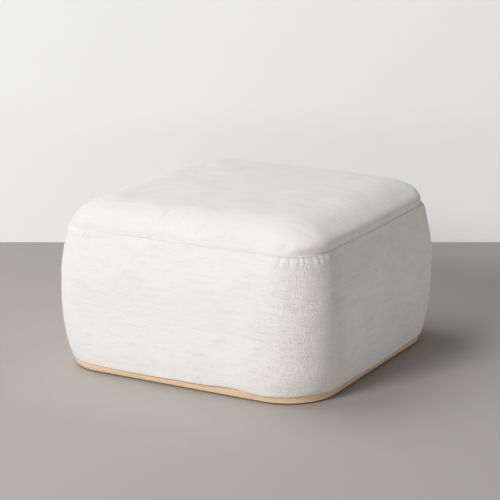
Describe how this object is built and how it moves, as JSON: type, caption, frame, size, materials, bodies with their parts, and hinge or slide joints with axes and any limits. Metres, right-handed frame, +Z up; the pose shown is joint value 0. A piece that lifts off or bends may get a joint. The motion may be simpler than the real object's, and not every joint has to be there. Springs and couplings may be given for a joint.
{
  "type": "storage ottoman",
  "caption": "Square storage ottoman with rounded corners: a padded, slub-cloth covered box on a low oak plinth, shut by a crowned padded lid hinged at the back.",
  "frame": {"origin": "middle of the underside of the plinth's foot, on the floor", "axes": "+Z up; the front faces -Y, the hinge is at the back on the +Y side, and +X is the right side seen from the front"},
  "size_m": [0.6984, 0.6984, 0.4015],
  "materials": {
    "oak": "clear matt lacquer on light oak",
    "cover_cloth": "ivory linen-look plain weave with slubs along the weft",
    "lining_cloth": "plain fine-woven natural lining",
    "hinge_steel": "brushed"
  },
  "bodies": {
    "base": {"plinth": "oak", "body": "cover_cloth", "box_floor": "lining_cloth", "hinge_base_leaf": "hinge_steel"},
    "lid": {"lid": "cover_cloth", "lid_panel": "lining_cloth", "hinge_lid_leaf": "hinge_steel"}
  },
  "joints": [
    {"name": "lid_hinge", "type": "hinge", "parent": "base", "child": "lid", "pos_m": [0, 0.322, 0.3325], "axis": [-1, 0, 0], "range_deg": [0, 95]}
  ]
}
